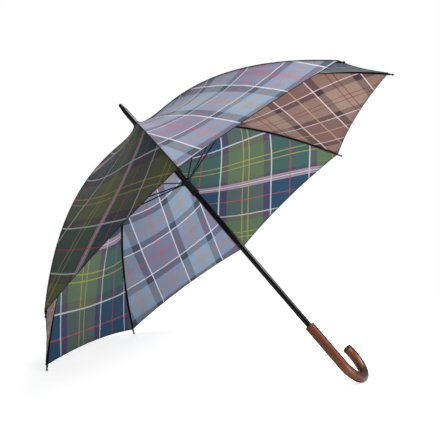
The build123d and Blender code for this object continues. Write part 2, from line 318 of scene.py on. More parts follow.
class Nodes(Graph):
    """Node tree of a new material."""

    def __init__(self, name):
        self.material = bpy.data.materials.new(name)
        self.material.use_nodes = True
        super().__init__(self.material.node_tree)
        self.shader = self.tree.nodes["Principled BSDF"]

    def position(self):
        """The point's own x, y and z."""
        return self.add("ShaderNodeTexCoord", output=3)

    def split(self, vector):
        """The x, y and z outputs of a vector."""
        node = self.tree.nodes.new("ShaderNodeSeparateXYZ")
        self.link(vector, node.inputs[0])
        return node.outputs

    def noise(self, vector, scale, detail=3.0, roughness=0.5):
        return self.add(
            "ShaderNodeTexNoise",
            inputs={"Vector": vector, "Scale": scale, "Detail": detail, "Roughness": roughness},
        )

    def mix(self, factor, first, second, blend="MIX"):
        """Mix of two colours."""
        node = self.tree.nodes.new("ShaderNodeMix")
        node.data_type = "RGBA"
        node.blend_type = blend
        self.link(factor, node.inputs["Factor"])
        self.link(first, node.inputs[6])
        self.link(second, node.inputs[7])
        return node.outputs[2]

    def span(self, value, low, high, to_low=0.0, to_high=1.0):
        """Value mapped from one range to another, and held at its ends."""
        inputs = {
            "Value": value,
            "From Min": low,
            "From Max": high,
            "To Min": to_low,
            "To Max": to_high,
        }
        return self.add("ShaderNodeMapRange", inputs=inputs)

    def ramp(self, value, stops, interpolation="LINEAR"):
        """Colour ramp; stops are (place, colour, alpha)."""
        node = self.tree.nodes.new("ShaderNodeValToRGB")
        node.color_ramp.interpolation = interpolation
        elements = node.color_ramp.elements
        while len(elements) < len(stops):
            elements.new(1.0)
        for element, (place, colour, alpha) in zip(elements, stops):
            element.position = place
            element.color = (*colour[:3], alpha)
        self.link(value, node.inputs[0])
        return node.outputs["Color"], node.outputs["Alpha"]

    def bump(self, height, distance, strength=1.0):
        inputs = {"Height": height, "Distance": distance, "Strength": strength}
        return self.add("ShaderNodeBump", inputs=inputs)

    def set(self, **values):
        """Links or sets inputs of the main shader: base_color is its Base Color, and so on."""
        for key, value in values.items():
            self.link(value, self.shader.inputs[key.replace("_", " ").title()])

    def set_shine(self, level):
        self.shader.inputs["Specular IOR Level"].default_value = level

    def set_surface(self, shader):
        self.link(shader, self.tree.nodes["Material Output"].inputs["Surface"])


# ---------------------------------------------------------------- cloth materials


def stripes(period, parts):
    """Ramp stops over half a period from (width, colour, opacity) parts, inner centre first."""
    half = period / 2
    place = 0.0
    stops = []
    for width, colour, opacity in parts:
        stops.append((place / half, rgb(*colour), opacity))
        place += width
    return stops


def sett_axis(nodes, coordinate, period, parts):
    """Stripe colour and its opacity along one direction of the cloth."""
    folded = nodes.math("PINGPONG", coordinate, period / 2)
    share = nodes.math("DIVIDE", folded, period / 2)
    return nodes.ramp(share, stripes(period, parts), "CONSTANT")


def near(nodes, coordinate, place, width):
    """1 where a coordinate is within half a width of a place."""
    away = nodes.math("ABSOLUTE", nodes.minus(coordinate, place))
    return nodes.math("LESS_THAN", away, width / 2)


def outer_face(nodes):
    """1 on the face of the cloth that looks away from the stick, 0 on the one towards it."""
    coordinates = nodes.tree.nodes.new("ShaderNodeTexCoord")
    centre = (0, 0, RIM_HEIGHT)
    away = nodes.vector_math("SUBTRACT", coordinates.outputs["Object"], centre)
    facing = nodes.vector_math("DOT_PRODUCT", coordinates.outputs["Normal"], away, output=1)
    return nodes.math("GREATER_THAN", facing, 0)


def scaled(nodes, x, y, z, across, along):
    """Vector whose x and y are scaled alike and whose z has its own scale."""
    return nodes.vector(nodes.times(x, across), nodes.times(y, across), nodes.times(z, along))


def slub_noise(nodes, x, y, scale_x, scale_y, seed):
    """Noise stretched along one thread of the cloth."""
    return nodes.noise(nodes.vector(nodes.times(x, scale_x), nodes.times(y, scale_y), seed), 1)


def woven_colour(nodes, x, y, period, warp, weft, sash):
    """Colour of the crossing threads: a fine twill decides which of the two lies on top."""
    warp_colour, warp_share = sett_axis(nodes, x, period, warp)
    weft_colour, weft_share = sett_axis(nodes, y, period, weft)
    twill = nodes.math("SINE", nodes.times(nodes.plus(x, y), 2 * pi / TWILL_STEP))
    on_top = nodes.math("MULTIPLY_ADD", twill, 0.28, 0.5)
    colour = nodes.mix(on_top, warp_colour, weft_colour)
    if sash:
        centre, bands = sash
        wrapped = nodes.math("WRAP", x, period / 2, -period / 2)
        for shift, width, shade, opacity in bands:
            inside = near(nodes, wrapped, centre + shift, width)
            colour = nodes.mix(nodes.times(inside, opacity), colour, rgb(*shade))
    colour = nodes.mix(warp_share, colour, warp_colour)
    return nodes.mix(weft_share, colour, weft_colour)


def cloth_value(nodes, x, y, edge, slub):
    """Brightness from slubs and slow fading, with painted shade where the cloth is doubled at the
    seams and the hem.
    """
    fading = nodes.noise(nodes.vector(x, y, 0), 9, 2)
    value = nodes.span(slub, 0.6, 1.4, 0.93, 1.03)
    value = nodes.plus(value, nodes.span(fading, 0.3, 0.7, -0.04, 0.04))
    # painted shade: darker bands where the doubled cloth holds back the light at the seams and the
    # hem
    seam_shade = nodes.span(edge[0], SEAM_WIDTH * 0.9, SEAM_WIDTH * 1.1, 0.86, 1.0)
    hem_shade = nodes.span(edge[1], *HEM_FOLD, 0.88, 1.0)
    return nodes.times(value, nodes.times(seam_shade, hem_shade))


def painted_outer_light(nodes, tone, tint):
    """Painted light and shade on the outer face: a tint that stands in for how the light falls on
    it, and fades on bright threads.
    """
    brightness = nodes.add("ShaderNodeRGBToBW", inputs={0: tone})
    strength = nodes.span(brightness, 0.2, 0.45, 1.0, 0.25)
    # painted light: the outer face takes a tint that stands in for its lighting
    cover = nodes.times(outer_face(nodes), strength)
    return nodes.mix(cover, tone, nodes.mix(1.0, tone, tint, "MULTIPLY"))


def stitched(nodes, tone, x, hem_distance):
    """Dark running stitches beside the hem."""
    wave = nodes.math("FRACT", nodes.times(x, STITCHES_PER_METRE))
    dashes = nodes.math("GREATER_THAN", wave, 0.35)
    row = near(nodes, hem_distance, STITCH_PLACE, STITCH_WIDTH)
    return nodes.mix(nodes.times(nodes.times(row, dashes), 0.55), tone, rgb(40, 40, 48))


def weave_normal(nodes, x, y, slub):
    """Bump of the crossing threads."""
    warp_wave = nodes.math("SINE", nodes.times(x, 2 * pi / TWILL_STEP))
    weft_wave = nodes.math("SINE", nodes.times(y, 2 * pi / TWILL_STEP))
    threads = nodes.times(warp_wave, weft_wave)
    height = nodes.plus(nodes.times(threads, 0.5), nodes.times(slub, 0.4))
    return nodes.bump(height, 0.12 * MM, 0.5)


def cloth(name, period, warp, weft, sash=None, outer_face_light=(1, 1, 1, 1)):
    """Woven checked cloth. warp and weft are stripe parts, sash a wide stripe on the warp, and the
    last argument a painted light tint for the outer face.
    """
    nodes = Nodes(name)
    x, y = nodes.split(nodes.add("ShaderNodeUVMap", uv_map="cloth"))[:2]
    edge = nodes.split(nodes.add("ShaderNodeUVMap", uv_map="edge"))
    slub = nodes.plus(slub_noise(nodes, x, y, 900, 30, 0), slub_noise(nodes, x, y, 30, 900, 4))
    colour = woven_colour(nodes, x, y, period, warp, weft, sash)
    value = cloth_value(nodes, x, y, edge, slub)
    tone = nodes.add("ShaderNodeHueSaturation", inputs={"Value": value, "Color": colour})
    tone = stitched(nodes, painted_outer_light(nodes, tone, outer_face_light), x, edge[1])
    normal = weave_normal(nodes, x, y, slub)
    nodes.set(base_color=tone, roughness=nodes.span(slub, 0.6, 1.4, 0.62, 0.78), normal=normal)
    nodes.set(sheen_weight=0.12, sheen_roughness=0.45)
    nodes.set_shine(0.28)

    # some light comes through the thin cloth
    through = nodes.add("ShaderNodeBsdfTranslucent", inputs={"Color": tone, "Normal": normal})
    shaders = {0: CLOTH_TRANSLUCENCE, 1: nodes.shader.outputs[0], 2: through}
    nodes.set_surface(nodes.add("ShaderNodeMixShader", inputs=shaders))
    return nodes.material


def green_cloth():
    """Green and navy check with a pink and blue sash; painted shade darkens and browns its outer
    face.
    """
    plum = (92, 78, 98)
    white = (208, 220, 220)
    yellow = (188, 174, 88)
    red = (186, 66, 92)
    leaf = (82, 114, 98)
    moss = (112, 132, 86)
    navy = (34, 60, 114)
    teal = (38, 92, 102)
    warp = (
        (1.4 * MM, red, 0.5),
        (55.6 * MM, navy, 0),
        (LINE, white, 0.75),
        (21 * MM, plum, 0),
        (45.6 * MM, leaf, 0),
        (3.2 * MM, yellow, 0.45),
        (5.4 * MM, leaf, 0),
    )
    weft = (
        (1.4 * MM, red, 0.5),
        (55.6 * MM, teal, 0),
        (LINE, white, 0.75),
        (21 * MM, plum, 0),
        (45.6 * MM, moss, 0),
        (3.2 * MM, yellow, 0.5),
        (5.4 * MM, moss, 0),
    )
    pink = (190, 150, 158)
    sky = (140, 146, 176)
    sash_bands = (
        (0, 22 * MM, sky, 0.85),
        (-7.5 * MM, 4.5 * MM, pink, 0.9),
        (0, 4.5 * MM, pink, 0.9),
        (7.5 * MM, 4.5 * MM, pink, 0.9),
    )
    sash = (-59 * MM, sash_bands)
    # painted shade: the outer face is darkened and browned where less light falls on it
    return cloth("cloth_green", GREEN_PERIOD, warp, weft, sash, (0.94, 0.71, 0.50, 1))


def blue_cloth():
    """Light blue and lavender check with slate bands."""
    slate = (74, 82, 102)
    white = (230, 232, 242)
    lavender = (132, 136, 166)
    light = (150, 174, 200)
    parts = (
        (7 * MM, (162, 120, 150), 0.08),
        (41.1 * MM, lavender, 0),
        (LINE, white, 0.72),
        (21.5 * MM, slate, 0),
        (28.5 * MM, light, 0),
        (10.1 * MM, (170, 166, 170), 0.05),
    )
    # painted light: the outer face is brightened to stand in for the light that falls on it
    return cloth("cloth_blue", BLUE_PERIOD, parts, parts, outer_face_light=(1.22, 1.08, 1.0, 1))


def brown_cloth():
    """Tan and mauve check with plum bands."""
    plum = (78, 52, 62)
    white = (240, 222, 222)
    mauve = (140, 104, 98)
    tan = (178, 148, 132)
    parts = (
        (1.8 * MM, (214, 172, 140), 0.6),
        (50.3 * MM, mauve, 0),
        (LINE, white, 0.8),
        (22 * MM, plum, 0),
        (37.2 * MM, tan, 0),
        (3.2 * MM, (140, 52, 66), 0.5),
        (7.2 * MM, tan, 0),
    )
    return cloth("cloth_brown", BROWN_PERIOD, parts, parts)


def binding_cloth():
    """Dark overlocked thread along the hem; the same dark material colours the painted-shade cords
    on the seams.
    """
    nodes = Nodes("hem_thread")
    where = nodes.position()
    fibre = nodes.noise(where, 900, 2)
    colour, _ = nodes.ramp(fibre, ((0.3, rgb(14, 14, 18), 1), (0.7, rgb(34, 34, 42), 1)))
    nodes.set(base_color=colour, roughness=0.85, normal=nodes.bump(fibre, 0.2 * MM, 0.6))
    return nodes.material


# ---------------------------------------------------------------- hard materials


def lacquered_wood():
    """Red-brown lacquer over wood whose grain runs along the crook, with a painted highlight and
    painted edge shade.
    """
    nodes = Nodes("handle_wood")
    turn = radians(CROOK_AZIMUTH)
    x, y, z = nodes.split(nodes.position())[:3]
    reach = nodes.plus(nodes.times(x, cos(turn)), nodes.times(y, sin(turn)))
    side = nodes.minus(nodes.times(y, cos(turn)), nodes.times(x, sin(turn)))
    over = nodes.minus(z, CROOK_HEIGHT)
    back = nodes.minus(CROOK_RADIUS, reach)

    # place along and across the bend, taken about its centre
    angle = nodes.math("ARCTAN2", nodes.times(over, -1), back)
    far = nodes.math("SQRT", nodes.plus(nodes.times(over, over), nodes.times(back, back)))
    bent = nodes.math("MAXIMUM", nodes.math("LESS_THAN", over, 0), nodes.math("LESS_THAN", back, 0))
    turned = nodes.math("MODULO", nodes.plus(angle, 2 * pi), 2 * pi)
    along_bend = nodes.times(turned, -CROOK_RADIUS)
    across_bend = nodes.minus(CROOK_RADIUS, far)

    def choose(straight, curved):
        kept = nodes.times(straight, nodes.minus(1, bent))
        return nodes.math("MULTIPLY_ADD", curved, bent, kept)

    along = choose(over, along_bend)
    across = choose(reach, across_bend)
    grain = nodes.noise(scaled(nodes, across, side, along, 260, 9), 1, 5, 0.6)
    bands = nodes.noise(scaled(nodes, across, side, along, 70, 5), 1, 3, 0.5)
    mixed = nodes.plus(nodes.times(grain, 0.55), nodes.times(bands, 0.45))
    colour, _ = nodes.ramp(
        mixed,
        (
            (0.30, rgb(60, 24, 10), 1),
            (0.45, rgb(88, 40, 17), 1),
            (0.58, rgb(103, 49, 22), 1),
            (0.72, rgb(120, 62, 30), 1),
        ),
    )
    pores = nodes.span(grain, 0.36, 0.42, 0.0, 1.0)
    normal = nodes.bump(pores, 0.06 * MM, 0.25)

    # painted highlight and shade: the colour is brightened where the crook faces the camera and
    # darkened where it is seen at a slant
    slant = nodes.add("ShaderNodeLayerWeight", output=1, inputs={"Blend": 0.5})
    painted_facing_light = nodes.span(slant, 0.0, 0.6, 1.6, 0.3)
    colour = nodes.mix(1.0, colour, nodes.vector(painted_facing_light, painted_facing_light, painted_facing_light), "MULTIPLY")
    smear = nodes.noise(nodes.position(), 60, 3)
    nodes.set(
        base_color=colour,
        roughness=nodes.span(smear, 0.3, 0.7, 0.34, 0.44),
        normal=normal,
        coat_weight=0.32,
        coat_roughness=0.22,
    )
    nodes.set_shine(0.25)
    return nodes.material


def worn_paint(name, paint, metal, roughness, wear=0.62, shine=0.3):
    """Black paint or plating with faint dust, fine scratches and rubbed edges."""
    nodes = Nodes(name)
    where = nodes.position()
    fine = nodes.noise(where, 420, 4, 0.6)
    broad = nodes.noise(where, 26, 3)
    x, y, z = nodes.split(where)[:3]
    streaks = nodes.noise(scaled(nodes, x, y, z, 700, 16), 1, 2)
    edge = nodes.add("ShaderNodeNewGeometry", output=7)
    rub = nodes.span(nodes.plus(edge, nodes.times(fine, 0.12)), wear, wear + 0.06)
    dusty = nodes.span(nodes.plus(broad, nodes.times(streaks, 0.3)), 0.5, 0.9, 0, 0.35)
    colour = nodes.mix(dusty, rgb(*paint), rgb(*[value + 9 for value in paint]))
    colour = nodes.mix(rub, colour, rgb(*metal))
    nodes.set(
        base_color=colour,
        roughness=nodes.span(streaks, 0.3, 0.7, roughness - 0.06, roughness + 0.1),
        normal=nodes.bump(fine, 0.03 * MM, 0.35),
        metallic=nodes.times(rub, 0.8),
    )
    nodes.set_shine(shine)
    return nodes.material


def bare_steel(name, tone, roughness):
    """Bright steel with drawn streaks."""
    nodes = Nodes(name)
    x, y, z = nodes.split(nodes.position())[:3]
    streaks = nodes.noise(scaled(nodes, x, y, z, 900, 30), 1, 3)
    darker = [int(value * 0.8) for value in tone]
    colour, _ = nodes.ramp(streaks, ((0.3, rgb(*darker), 1), (0.7, rgb(*tone), 1)))
    nodes.set(
        base_color=colour,
        metallic=0.9,
        roughness=nodes.span(streaks, 0.3, 0.7, roughness - 0.07, roughness + 0.1),
        normal=nodes.bump(streaks, 0.02 * MM, 0.4),
    )
    return nodes.material


def moulded_plastic():
    """Black moulded runner with a fine spark-eroded texture."""
    nodes = Nodes("runner_plastic")
    where = nodes.position()
    pits = nodes.noise(where, 1100, 2)
    broad = nodes.noise(where, 40, 2)
    colour, _ = nodes.ramp(broad, ((0.35, rgb(6, 6, 7), 1), (0.7, rgb(14, 14, 15), 1)))
    nodes.set(
        base_color=colour,
        roughness=nodes.span(pits, 0.3, 0.7, 0.38, 0.56),
        normal=nodes.bump(pits, 0.05 * MM, 0.5),
    )
    return nodes.material


# ---------------------------------------------------------------- canopy


class Gore:
    """Where one gore's pattern sits: its turn in degrees, and an inner centre in millimetres."""

    def __init__(self, family, angle, x, y, flip_x=1, scale=1.0):
        self.family = family
        self.angle = angle
        self.x = x * MM
        self.y = y * MM
        self.flip_x = flip_x
        self.scale = scale

    def pattern(self, across, along):
        """Pattern coordinates from the gore's own: across from its middle, along from the stick."""
        turn, lean = sin(radians(self.angle)), cos(radians(self.angle))
        below = along - PATTERN_PIVOT
        if self.angle == 45:
            first = PATTERN_PIVOT - lean * across + turn * below
            second = turn * across + lean * below
        elif self.angle == 90:
            first, second = along, across
        else:
            first, second = across, along
        return (first - self.x) * self.flip_x / self.scale, (second - self.y) / self.scale


GORES = (
    Gore("green", 45, 540, 172, scale=0.97),
    Gore("brown", 45, 585, 55),
    Gore("green", 90, 582, 98, flip_x=-1, scale=1.12),
    Gore("blue", 0, -36, 462),
    Gore("green", 45, 519, 170),
    Gore("brown", 45, 585, 55),
    Gore("green", 90, 582, 98, flip_x=-1, scale=1.12),
    Gore("blue", 0, 96, 453),
)


def gore_point(number, share, radius):
    """Point of the smooth sheet, and its across and along lengths. share runs 0 to 1."""
    first = direction(rib_azimuth(number))
    last = direction(rib_azimuth(number + 1))
    flat = first.lerp(last, share) * radius
    point = Vector((flat.x, flat.y, sheet_height(radius)))
    across = (share - 0.5) * (last - first).length * radius
    return point, across, length_at(radius)


def sheet_normal(number, radius):
    """Outward normal of a gore, taken in its middle plane."""
    middle = direction(rib_azimuth(number + 0.5))
    grade = rib_grade(radius) / cos(radians(RIB_STEP / 2))
    return (Vector((0, 0, 1)) - middle * grade).normalized()


def wrinkles(number, across, along, seam_distance, hem_distance):
    """Slow swells, finer ones along the gore, and creases that start at the seams."""
    held = ramp_up(seam_distance, 0, WRINKLE_FREE)
    hem_free = ramp_up(hem_distance, 0, HEM_STIFF) * 0.75 + 0.25
    slow = noise.noise(Vector((across * 9, along * 5, number * 7.3)))
    stretched = noise.noise(Vector((across * 34, along * 6, number * 3.1 + 40)))
    swell = WRINKLE_HEIGHT * held * hem_free * (0.7 * slow + 0.45 * stretched)
    pulled = noise.noise(Vector((seam_distance * 44, along * 3.2, number * 4.9 + across / 9)))
    crease = CREASE_HEIGHT * held * exp(-abs(pulled) / CREASE_WIDTH)
    return swell + crease * ramp_up(along, *CREASE_START)


def puckers(number, along, seam_distance):
    """Small waves that the seam's thread draws up beside it."""
    lean = noise.noise(Vector((along * 14, number * 1.7, 9))) * 2
    wave = sin(2 * pi * along / PUCKER_STEP + lean)
    fade = exp(-seam_distance / PUCKER_REACH) * ramp_up(seam_distance, 0, PUCKER_START)
    return PUCKER_HEIGHT * fade * wave


def crown_folds(number, share, along, seam_distance):
    """Soft folds that fan out from the crown."""
    fan = noise.noise(Vector((share * 7, number * 2.9, along * 5)))
    fade = exp(-(((along - CROWN_FOLD_PLACE) / CROWN_FOLD_REACH) ** 2))
    return CROWN_FOLD_HEIGHT * fan * fade * ramp_up(seam_distance, 0, CROWN_FOLD_FREE)


def relief(number, share, across, along, seam_distance, hem_distance):
    """How far the real cloth stands off the smooth sheet."""
    arch = 1 - (2 * share - 1) ** 2
    sag = -GORE_SAG * arch * sin(pi * min(1.0, along / CLOTH_LENGTH)) ** SAG_ROUNDNESS
    ridge = SEAM_RIDGE * (1 - ramp_up(seam_distance, SEAM_WIDTH * 0.8, SEAM_WIDTH * 1.2))
    waves = wrinkles(number, across, along, seam_distance, hem_distance)
    gathers = puckers(number, along, seam_distance)
    return sag + ridge + waves + gathers + crown_folds(number, share, along, seam_distance)


def sheet_rows():
    """Shares of the way from the stick to the hem, closer together near the crown."""
    return [(i / SHEET_ROWS) ** 1.12 for i in range(SHEET_ROWS + 1)]


def sheet_columns(side):
    """Shares across one half of a gore, from its rib to its middle."""
    half = [0.5 * (i / SHEET_COLUMNS) ** 1.25 for i in range(SHEET_COLUMNS + 1)]
    if side == 0:
        return half
    return [1 - share for share in reversed(half)]


def pattern_place(number, across, along, arch):
    """Pattern coordinates of a point, where the stretched cloth bows and drifts a little."""
    bow = ROW_BOW * (1 - along / CLOTH_LENGTH) * arch * ramp_up(along, 0, BOW_START)
    place = Vector((across * WOBBLE_SCALE, along * WOBBLE_SCALE, number * 5.7))
    drift = noise.noise_vector(place) * WOBBLE
    gathered = CROWN_DRIFT * exp(-((along / CROWN_DRIFT_REACH) ** 2)) * arch
    place = Vector((across * 26, along * 22, number * 3.3 + 8))
    drift += noise.noise_vector(place) * gathered
    return GORES[number].pattern(across + drift.x, along - bow + drift.y)


def grid_faces(height, width):
    """Faces of a grid of vertices that are listed row by row."""
    faces = []
    for row in range(height - 1):
        for column in range(width - 1):
            corner = row * width + column
            faces.append((corner, corner + width, corner + width + 1, corner + 1))
    return faces


def half_gore(number, side, material, thread):
    """Half of a gore's cloth: from rib to middle, or from middle to the next rib."""
    vertices, folds, pattern_uv, edge_uv = [], [], [], []
    columns = sheet_columns(side)
    rows = sheet_rows()
    grade_length = sqrt(1 + rib_grade(RIM_RADIUS) ** 2)
    for down in rows:
        for share in columns:
            arch = 1 - (2 * share - 1) ** 2
            last_radius = RIM_RADIUS - HEM_RISE / grade_length * arch
            radius = FABRIC_START + (last_radius - FABRIC_START) * down
            point, across, along = gore_point(number, share, radius)
            half_width = radius * sin(radians(RIB_STEP / 2))
            seam_distance = max(0.0, half_width - abs(across))
            hem_distance = (last_radius - radius) * grade_length
            stand = relief(number, share, across, along, seam_distance, hem_distance)
            point = point + sheet_normal(number, radius) * stand
            if share in (0.0, 1.0):
                inward = direction(rib_azimuth(number + 1 - share) + 90 * (2 * share - 1))
                point = point + inward * SEAM_GAP
            vertices.append(point)
            folds.append(gathered_point(number, side, share, radius))
            pattern_uv.append(pattern_place(number, across, along, arch))
            edge_uv.append((seam_distance, hem_distance))
    width = len(columns)
    faces = grid_faces(len(rows), width)
    sheet_faces = len(faces)
    meets = meeting_terms(number, side, vertices, folds, width)
    hem_start = (len(rows) - 1) * width
    hem = range(hem_start, hem_start + width)
    add_cord(vertices, folds, meets, faces, hem, Vector(), HEM_CORD)
    if side == 0:
        # painted shade: a dark cord along the outside of the seam stands in for the shadow line of
        # the seam ridge
        lift = (direction(rib_azimuth(number)) * 0.3 + Vector((0, 0, 1))) * SEAM_LIFT
        seam = range(0, len(rows) * width, width)
        add_cord(vertices, folds, meets, faces, seam, lift, SEAM_SHADE_CORD)
    made = new_object(f"cloth_{number}{'ab'[side]}", vertices, faces, (material, thread))
    mesh = made.data
    for polygon in mesh.polygons[sheet_faces:]:
        polygon.material_index = 1
    fill_uv(mesh, "cloth", pattern_uv)
    fill_uv(mesh, "edge", edge_uv)
    mark_borders(mesh)
    return made, folds, meets


def add_cord(vertices, folds, meets, faces, indices, lift, thickness):
    """Adds a thin closed tube along some vertices: the bound edge of a hem, or a dark cord on a
    seam that is painted shade for the seam ridge's shadow line.
    """
    first = len(vertices)
    path = [vertices[index] + lift for index in indices]
    folded = [folds[index] + lift for index in indices]
    for index, point in enumerate(path):
        before = path[max(index - 1, 0)]
        after = path[min(index + 1, len(path) - 1)]
        forward = (after - before).normalized()
        side = forward.cross(Vector((0, 0, 1))).normalized()
        top = side.cross(forward)
        for step in range(CORD_SIDES):
            angle = 2 * pi * step / CORD_SIDES
            offset = (side * cos(angle) + top * sin(angle)) * thickness
            vertices.append(point + offset)
            folds.append(folded[index] + offset)
            meets.append(meets[indices[index]])
    for index in range(len(path) - 1):
        here = first + index * CORD_SIDES
        there = here + CORD_SIDES
        for step in range(CORD_SIDES):
            other = (step + 1) % CORD_SIDES
            faces.append((here + step, here + other, there + other, there + step))
    last = first + (len(path) - 1) * CORD_SIDES
    faces.append(tuple(first + step for step in reversed(range(CORD_SIDES))))
    faces.append(tuple(last + step for step in range(CORD_SIDES)))


def fill_uv(mesh, name, values):
    """Writes one UV pair for each vertex; vertices past the list get zeros."""
    layer = mesh.uv_layers.new(name=name)
    for loop in mesh.loops:
        if loop.vertex_index < len(values):
            layer.data[loop.index].uv = values[loop.vertex_index]


def mark_borders(mesh):
    """Keeps the cloth's free edges sharp, so that their rims don't round the shading."""
    uses = {}
    for polygon in mesh.polygons:
        for key in polygon.edge_keys:
            uses[key] = uses.get(key, 0) + 1
    for edge in mesh.edges:
        edge.use_edge_sharp = uses.get(edge.key, 0) == 1


# ---------------------------------------------------------------- gathering of the closing cloth


def closed_profile(radius):
    """Distance from the stick and height of the cloth over a rib of the closed umbrella."""
    if radius < CROWN_EDGE:
        part = (radius - FABRIC_START) / (CROWN_EDGE - FABRIC_START)
        outward, height = closed_profile(CROWN_EDGE)
        top = sheet_height(FABRIC_START)
        return FABRIC_START + (outward - FABRIC_START) * part, top + (height - top) * part
    away = radius - HINGE_RADIUS
    rise = sheet_height(radius) - HINGE_HEIGHT
    turned = away * cos(CLOSING_TURN) + rise * sin(CLOSING_TURN)
    dropped = rise * cos(CLOSING_TURN) - away * sin(CLOSING_TURN)
    return HINGE_RADIUS + turned, HINGE_HEIGHT + dropped


def half_gore_frame(number, side):
    """Outward and sideways directions of a half gore at its rib, and the rib's hinge."""
    rib = rib_azimuth(number + side)
    outward = direction(rib)
    sideways = direction(rib + 90 * (2 * side - 1))
    return outward, sideways, outward * HINGE_RADIUS + Vector((0, 0, HINGE_HEIGHT))


def gathered_point(number, side, share, radius):
    """Where a point of the cloth is when closed, as seen by its rib: drawn back to the open rib."""
    part = 2 * share if side == 0 else 2 * (1 - share)
    bend = radians(RIB_STEP / 2)
    reach, height = closed_profile(radius)
    pleat = min(PLEAT_HEIGHT, PLEAT_SHARE * reach) * sin(pi * part)
    reach = reach * cos(bend) / cos(bend * (1 - part)) + pleat
    across = reach * sin(bend * part) + SEAM_GAP * (1 - part)
    away = reach * cos(bend * part) - HINGE_RADIUS
    rise = height - HINGE_HEIGHT
    back = away * cos(CLOSING_TURN) - rise * sin(CLOSING_TURN)
    lifted = away * sin(CLOSING_TURN) + rise * cos(CLOSING_TURN)
    outward, sideways, hinge = half_gore_frame(number, side)
    return hinge + outward * back + sideways * across + Vector((0, 0, lifted))


def meeting_terms(number, side, vertices, folds, width):
    """For each vertex, what says how far its row is gathered when the two halves of a gore meet."""
    outward, sideways, hinge = half_gore_frame(number, side)
    lean = tan(radians(RIB_STEP / 2))
    middle = width - 1 if side == 0 else 0
    rows = []
    for start in range(0, len(vertices), width):
        point = vertices[start + middle]
        way = folds[start + middle] - point
        arm = point - hinge
        gap = lean * HINGE_RADIUS - arm.dot(sideways)
        above = (gap, lean * arm.dot(outward), lean * arm.z)
        below = (way.dot(sideways), -lean * way.dot(outward), -lean * way.z)
        rows.append((point.xy.length, above, below))
    first = next(row for row in rows if row[0] >= CROWN_EDGE)
    terms = []
    for row in rows:
        chosen = row if row[0] >= CROWN_EDGE else first
        terms.extend([chosen[1:]] * width)
    return terms


def gather_nodes():
    """Modifier group that swaps the plain squash of a half gore for its gathered shape."""
    tree = bpy.data.node_groups.new("gather", "GeometryNodeTree")
    for end in ("INPUT", "OUTPUT"):
        tree.interface.new_socket("Geometry", in_out=end, socket_type="NodeSocketGeometry")
    nodes = Graph(tree)
    start = nodes.add("NodeGroupInput")

    def stored(name, kind="FLOAT_VECTOR"):
        given = {"Name": name}
        return nodes.add("GeometryNodeInputNamedAttribute", "Attribute", given, data_type=kind)

    def mean(value):
        given = {"Geometry": start, "Attribute": value}
        return nodes.add("GeometryNodeAttributeStatistic", "Mean", given)

    # how far the joint has moved, from how far the squash has moved the whole piece
    rest = stored("rest")
    here = nodes.add("GeometryNodeInputPosition")
    moved = nodes.vector_math("DISTANCE", here, rest, output="Value")
    closing = nodes.math("DIVIDE", mean(moved), mean(stored("reach", "FLOAT")))

    # share of each row's way that keeps the two halves of a gore in touch
    turn = nodes.times(closing, CLOSING_TURN)
    parts = nodes.vector(1, nodes.math("COSINE", turn), nodes.math("SINE", turn))
    above = nodes.vector_math("DOT_PRODUCT", stored("above"), parts, output="Value")
    below = nodes.vector_math("DOT_PRODUCT", stored("below"), parts, output="Value")
    share = nodes.math("DIVIDE", above, below)
    ends = {"Factor": share, 4: rest, 5: stored("fold")}
    place = nodes.add("ShaderNodeMix", 1, ends, data_type="VECTOR")
    given = {"Geometry": start, "Position": place}
    placed = nodes.add("GeometryNodeSetPosition", inputs=given)
    nodes.link(placed, tree.nodes.new("NodeGroupOutput").inputs[0])
    return tree


def add_gathering(piece, folds, meets, axis, anchor, tree):
    """Stores what the gathering needs at each vertex, and adds its modifier."""
    mesh = piece.data
    rest, fold, reach, above, below = [], [], [], [], []
    for vertex, target, terms in zip(mesh.vertices, folds, meets):
        rest.extend(vertex.co)
        fold.extend(target)
        reach.append(abs((vertex.co - anchor).dot(axis)) * (1 - FOLDED_WIDTH))
        above.extend(terms[0])
        below.extend(terms[1])
    vectors = {"rest": rest, "fold": fold, "above": above, "below": below}
    for name, values in vectors.items():
        mesh.attributes.new(name, "FLOAT_VECTOR", "POINT").data.foreach_set("vector", values)
    mesh.attributes.new("reach", "FLOAT", "POINT").data.foreach_set("value", reach)
    piece.modifiers.new("gathering", "NODES").node_group = tree


def fold_axis(number, side):
    """Direction in which half a gore gathers towards its own rib as the ribs close."""
    outward, _, hinge = half_gore_frame(number, side)
    middle = direction(rib_azimuth(number + 0.5))
    across = (middle * cos(radians(RIB_STEP / 2)) - outward).normalized()
    tip = outward * RIM_RADIUS + Vector((0, 0, RIM_HEIGHT))
    chord = (tip - hinge).normalized()
    axis = (across - chord * across.dot(chord)).normalized()
    return axis, hinge.lerp(tip, 0.5)


def build_canopy():
    """Sixteen half gores that meet in the middle of each gore, so that each follows its rib."""
    cloths = {"green": green_cloth(), "blue": blue_cloth(), "brown": brown_cloth()}
    thread = binding_cloth()
    gathering = gather_nodes()
    for number, gore in enumerate(GORES):
        for side in (0, 1):
            piece, folds, meets = half_gore(number, side, cloths[gore.family], thread)
            axis, anchor = fold_axis(number, side)
            add_gathering(piece, folds, meets, axis, anchor, gathering)
            solid = piece.modifiers.new("thickness", "SOLIDIFY")
            solid.thickness = SHEET_THICKNESS
            solid.offset = 0
            rib = (number + side) % RIB_COUNT
            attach(piece, f"rib_{rib}")
            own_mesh(piece)
            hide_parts(f"canopy_panel_{number}")


# ---------------------------------------------------------------- tie band


